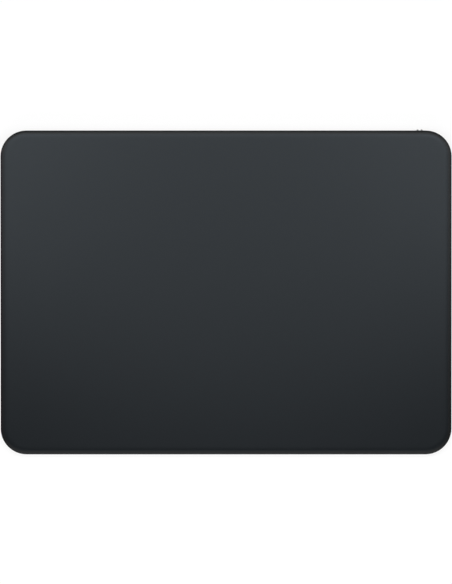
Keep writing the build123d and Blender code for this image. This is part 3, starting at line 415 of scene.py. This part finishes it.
def glass_profile():
    """Inset and drop round the glass's side, from the end of its flat top to its underside.

    The crown's steps lie closer together towards the edge, where it is steepest.
    """
    lean = atan(GLASS_CROWN_POWER * GLASS_CROWN_DROP / GLASS_CROWN_WIDTH)
    crown_end = GLASS_EDGE_ROUND * (1 - sin(lean))
    profile = []
    for step in range(GLASS_CROWN_STEPS + 1):
        share = sqrt(step / GLASS_CROWN_STEPS)
        inset = crown_end + GLASS_CROWN_WIDTH * (1 - share)
        profile.append((inset, GLASS_CROWN_DROP * share**GLASS_CROWN_POWER))
    for step in range(1, ROUND_STEPS + 1):
        angle = lean + (pi / 2 - lean) * step / ROUND_STEPS
        drop = GLASS_CROWN_DROP + GLASS_EDGE_ROUND * (cos(lean) - cos(angle))
        profile.append((GLASS_EDGE_ROUND * (1 - sin(angle)), drop))
    profile.append((0, GLASS_THICKNESS - GLASS_BOTTOM_BEVEL))
    profile.append((GLASS_BOTTOM_BEVEL, GLASS_THICKNESS))
    return profile


def make_cover_glass():
    """Glass slab whose upper face falls softly to a rounded edge."""
    half_width = WIDTH / 2 - GLASS_INSET
    half_depth = DECK_DEPTH / 2 - GLASS_INSET
    radius = CORNER_RADIUS - GLASS_INSET
    rings = []
    profile = glass_profile()
    for inset, drop in profile:
        ring = rounded_ring(half_width - inset, half_depth - inset, radius - inset, GLASS_CORNER_STEPS)
        rings.append([deck_point(x, y, drop) for x, y in ring])
    mesh = bmesh.new()
    for (inset, _), band in zip(profile, add_skin(mesh, rings)):
        for face in band:
            face.material_index = 1 if inset < GLASS_EDGE_BAND else 0
    piece = finish_piece(mesh, "cover_glass", [materials["etched_glass"], ground_edge("glass_edge")])
    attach(piece, "touch")
    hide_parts("glass_top")


def make_feet():
    """Round rubber feet with a soft lower edge."""
    low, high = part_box("feet")
    radius = high.x - (WIDTH / 2 - FOOT_INSET)
    angles = [2 * pi * step / FOOT_STEPS for step in range(FOOT_STEPS)]
    levels = [(0, high.z)]
    levels += [(inset, low.z + drop) for inset, drop in quarter_round(FOOT_ROUND, ROUND_STEPS)[::-1]]
    mesh = bmesh.new()
    for right in (-1, 1):
        for back in (-1, 1):
            x = right * (WIDTH / 2 - FOOT_INSET)
            y = back * (DEPTH / 2 - FOOT_INSET)
            rings = []
            for inset, z in levels:
                reach = radius - inset
                rings.append([(x + reach * cos(a), y + reach * sin(a), z) for a in angles])
            add_skin(mesh, rings)
    piece = finish_piece(mesh, "rubber_feet", [materials["foot_rubber"]])
    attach(piece, "base")
    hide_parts("feet")


def make_knob():
    """Power knob with a softened face, two rounded ridges and the peg that joins it to the slider."""
    low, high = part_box("power_knob")
    middle = (low + high) / 2
    slider_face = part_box("switch_slider")[1].y
    face = high.y - KNOB_RIDGE_PROUD
    mesh = bmesh.new()
    levels = [(inset, face - drop) for inset, drop in quarter_round(KNOB_ROUND, ROUND_STEPS)]
    levels.append((0, slider_face))
    add_skin(mesh, slot_rings(middle, high.x - low.x, high.z - low.z, levels))
    for side in (-1, 1):
        place = middle + Vector((side * RIDGE_PITCH / 2, 0, 0))
        levels = [(inset, high.y - drop) for inset, drop in quarter_round(RIDGE_ROUND, ROUND_STEPS)]
        levels.append((0, face - KNOB_OVERLAP))
        add_skin(mesh, slot_rings(place, RIDGE_WIDTH, RIDGE_HEIGHT, levels))
    peg = rounded_ring(PEG_WIDTH / 2, PEG_HEIGHT / 2, PEG_ROUND, ROUND_STEPS)
    add_skin(mesh, [upright(peg, middle, y) for y in (slider_face + KNOB_OVERLAP, low.y)])
    piece = finish_piece(mesh, "ridged_knob", [materials["knob_plastic"]])
    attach(piece, "power")
    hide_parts("power_knob")


def make_port_shell():
    """Shell of the charging socket, hollow from its rolled lip to the tongue's inner end."""
    low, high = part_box("socket_shell")
    middle = (low + high) / 2
    lip = quarter_round(SHELL_WALL / 2, ROUND_STEPS)
    levels = [(SHELL_WALL, TONGUE_LOW.y)]
    levels += [(SHELL_WALL - inset, high.y - drop) for inset, drop in lip[::-1]]
    levels += [(inset, high.y - drop) for inset, drop in lip[1:]]
    levels.append((0, low.y))
    mesh = bmesh.new()
    add_skin(mesh, slot_rings(middle, high.x - low.x, high.z - low.z, levels))
    shell = finish_piece(mesh, "port_shell", [materials["steel_sheet"]])
    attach(shell, "base")
    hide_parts("socket_shell")


def make_port_tongue():
    """Contact tongue of the charging socket, with a softened tip."""
    middle = (TONGUE_LOW + TONGUE_HIGH) / 2
    half_width = (TONGUE_HIGH.x - TONGUE_LOW.x) / 2
    half_height = (TONGUE_HIGH.z - TONGUE_LOW.z) / 2
    levels = [(inset, TONGUE_HIGH.y - drop) for inset, drop in quarter_round(TONGUE_ROUND, ROUND_STEPS)]
    levels.append((0, TONGUE_LOW.y))
    rings = []
    for inset, y in levels:
        outline = rounded_ring(half_width - inset, half_height - inset, TONGUE_ROUND, ROUND_STEPS)
        rings.append(upright(outline, middle, y))
    mesh = bmesh.new()
    add_skin(mesh, rings)
    tongue = finish_piece(mesh, "port_tongue", [materials["knob_plastic"]])
    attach(tongue, "base")
    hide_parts("socket_tongue")


# Floor, light and camera


def math_node(nodes, links, operation, *values):
    """Result of a Math node whose inputs are sockets or plain numbers."""
    node = nodes.new("ShaderNodeMath")
    node.operation = operation
    for value, socket in zip(values, node.inputs):
        if isinstance(value, (int, float)):
            socket.default_value = value
        else:
            links.new(value, socket)
    return node.outputs["Value"]


def view_rays(nodes, links):
    """Value of one on the rays that see the background straight, mirrored or through glass."""
    path = nodes.new("ShaderNodeLightPath")
    rays = path.outputs["Is Camera Ray"]
    for name in ("Is Glossy Ray", "Is Transmission Ray"):
        rays = math_node(nodes, links, "MAXIMUM", rays, path.outputs[name])
    return rays


def floor_material():
    """Pale floor that keeps the object's shadow, fades to white further out and is clear from below."""
    material = bpy.data.materials.new("floor")
    material.use_nodes = True
    nodes, links = material.node_tree.nodes, material.node_tree.links
    shader = nodes["Principled BSDF"]
    shader.inputs["Roughness"].default_value = FLOOR_ROUGHNESS
    shader.inputs["Specular IOR Level"].default_value = 0
    shader.inputs["Emission Color"].default_value = (1, 1, 1, 1)
    geometry = nodes.new("ShaderNodeNewGeometry")
    reach = nodes.new("ShaderNodeVectorMath")
    reach.operation = "LENGTH"
    links.new(geometry.outputs["Position"], reach.inputs[0])
    fade = nodes.new("ShaderNodeMapRange")
    fade.inputs["From Min"].default_value = FADE_START
    fade.inputs["From Max"].default_value = FADE_END
    fade.inputs["To Min"].default_value = FLOOR_GLOW
    fade.inputs["To Max"].default_value = WHITE
    links.new(reach.outputs["Value"], fade.inputs["Value"])
    glow = fade.outputs["Result"]
    rays = view_rays(nodes, links)
    links.new(math_node(nodes, links, "MULTIPLY", rays, glow), shader.inputs["Emission Strength"])
    color = nodes.new("ShaderNodeMix")
    color.data_type = "RGBA"
    color.inputs[MIX_FIRST].default_value = (FLOOR_COLOR, FLOOR_COLOR, FLOOR_COLOR, 1)
    links.new(rays, color.inputs[MIX_FACTOR])
    links.new(math_node(nodes, links, "SUBTRACT", FLOOR_SEEN, glow), color.inputs[MIX_SECOND])
    links.new(color.outputs[MIX_RESULT], shader.inputs["Base Color"])
    clear = nodes.new("ShaderNodeBsdfTransparent")
    sides = nodes.new("ShaderNodeMixShader")
    links.new(geometry.outputs["Backfacing"], sides.inputs[0])
    links.new(shader.outputs["BSDF"], sides.inputs[1])
    links.new(clear.outputs["BSDF"], sides.inputs[2])
    links.new(sides.outputs["Shader"], nodes["Material Output"].inputs["Surface"])
    return material


def make_floor():
    """One large face, shifted so that its diagonal doesn't run under the object."""
    half = FLOOR_SIZE / 2
    near, far = FLOOR_SHIFT - half, FLOOR_SHIFT + half
    mesh = bmesh.new()
    corners = ((-half, near), (half, near), (half, far), (-half, far))
    mesh.faces.new([mesh.verts.new((x, y, CAD_LOW.z)) for x, y in corners])
    floor = finish_piece(mesh, "floor", [floor_material()])


def make_world():
    """White background, with a low even light."""
    world = bpy.data.worlds.new("world")
    bpy.context.scene.world = world
    world.use_nodes = True
    nodes, links = world.node_tree.nodes, world.node_tree.links
    background = nodes["Background"]
    background.inputs["Color"].default_value = (1, 1, 1, 1)
    strength = nodes.new("ShaderNodeMapRange")
    strength.inputs["To Min"].default_value = WORLD_LIGHT
    strength.inputs["To Max"].default_value = WHITE
    links.new(view_rays(nodes, links), strength.inputs["Value"])
    links.new(strength.outputs["Result"], background.inputs["Strength"])


def make_softbox(name, shape, place, size, radiance):
    """Level lamp of an even brightness, facing down and hidden from the camera."""
    area = size[0] * size[1] * (pi / 4 if shape == "ELLIPSE" else 1)
    light = bpy.data.lights.new(name, "AREA")
    light.shape = shape
    light.size, light.size_y = size
    light.energy = pi * radiance * area
    lamp = bpy.data.objects.new(name, light)
    lamp.location = place
    lamp.visible_camera = False
    bpy.context.scene.collection.objects.link(lamp)


def make_camera():
    """Camera straight above, with the photo's framing."""
    metres_per_px = WIDTH / (OUTLINE_RIGHT_PX - OUTLINE_LEFT_PX)
    data = bpy.data.cameras.new("camera")
    data.sensor_width = SENSOR_MM
    data.lens = SENSOR_MM * CAMERA_DISTANCE / (PHOTO_HEIGHT_PX * metres_per_px)
    data.clip_start = CAMERA_NEAR
    data.clip_end = CAMERA_FAR
    camera = bpy.data.objects.new("camera", data)
    right = (PHOTO_WIDTH_PX - OUTLINE_LEFT_PX - OUTLINE_RIGHT_PX) / 2 * metres_per_px
    back = (OUTLINE_TOP_PX + OUTLINE_BOTTOM_PX - PHOTO_HEIGHT_PX) / 2 * metres_per_px
    camera.location = (right, back, DECK_MIDDLE.z + CAMERA_DISTANCE)
    bpy.context.scene.collection.objects.link(camera)
    bpy.context.scene.camera = camera


dress_nodes()
make_cover_glass()
make_feet()
make_knob()
make_port_shell()
make_port_tongue()

make_floor()
make_world()
for name, light in LIGHTS.items():
    make_softbox(name, *light)
make_camera()
bpy.context.scene.view_settings.view_transform = "Standard"
